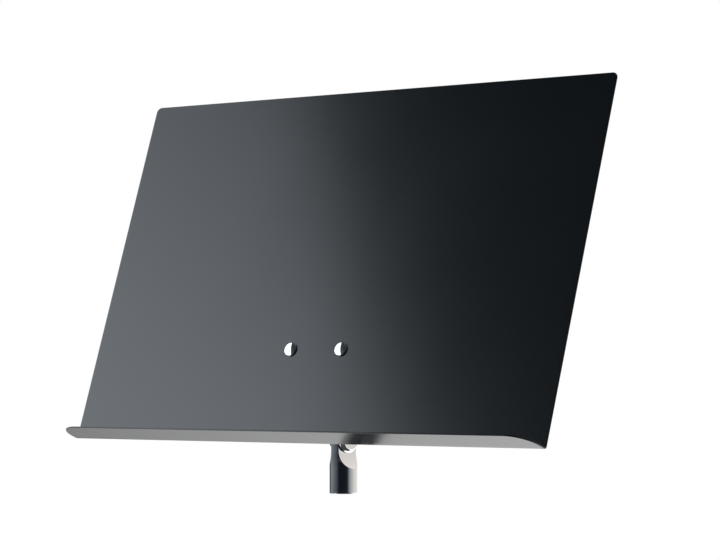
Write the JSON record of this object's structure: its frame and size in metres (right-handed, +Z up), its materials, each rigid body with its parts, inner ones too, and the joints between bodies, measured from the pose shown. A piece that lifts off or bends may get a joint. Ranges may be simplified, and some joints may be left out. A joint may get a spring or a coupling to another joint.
{
  "type": "music stand desk",
  "caption": "Head of a music stand: a folded sheet-metal desk with a shelf, on a friction tilt joint above a short round socket post.",
  "frame": {"origin": "centre of the socket's mouth, on the post's axis", "axes": "+Z up the post, -Y towards the player, +X to the right as the player sees it"},
  "size_m": [0.5, 0.1328, 0.3448],
  "materials": {
    "black_paint": "smooth satin black powder coat",
    "chrome": "polished chrome plate",
    "zinc_steel": "bright zinc plate",
    "nylon": "natural nylon",
    "friction_fibre": "pressed friction fibre",
    "bronze": "sintered bronze"
  },
  "bodies": {
    "post": {"socket_post": "chrome", "thread_insert": "zinc_steel", "pivot_bush": "bronze"},
    "desk": {"desk_panel": "black_paint", "tilt_bracket": "chrome", "desk_bolt_left": "chrome", "desk_bolt_right": "chrome", "flange_washer_left": "zinc_steel", "flange_washer_right": "zinc_steel", "lock_washer_left": "zinc_steel", "lock_washer_right": "zinc_steel", "flange_nut_left": "zinc_steel", "flange_nut_right": "zinc_steel", "pivot_bolt": "zinc_steel", "disc_spring_inner": "zinc_steel", "disc_spring_outer": "zinc_steel", "pivot_washer": "zinc_steel", "pivot_nut": "zinc_steel", "pivot_nut_ring": "nylon", "friction_disc_left": "friction_fibre", "friction_disc_right": "friction_fibre"}
  },
  "joints": [
    {"name": "desk_tilt", "type": "hinge", "parent": "post", "child": "desk", "pos_m": [0, 0, 0.0477], "axis": [-1, 0, 0], "range_deg": [-19.2, 70.8]}
  ]
}
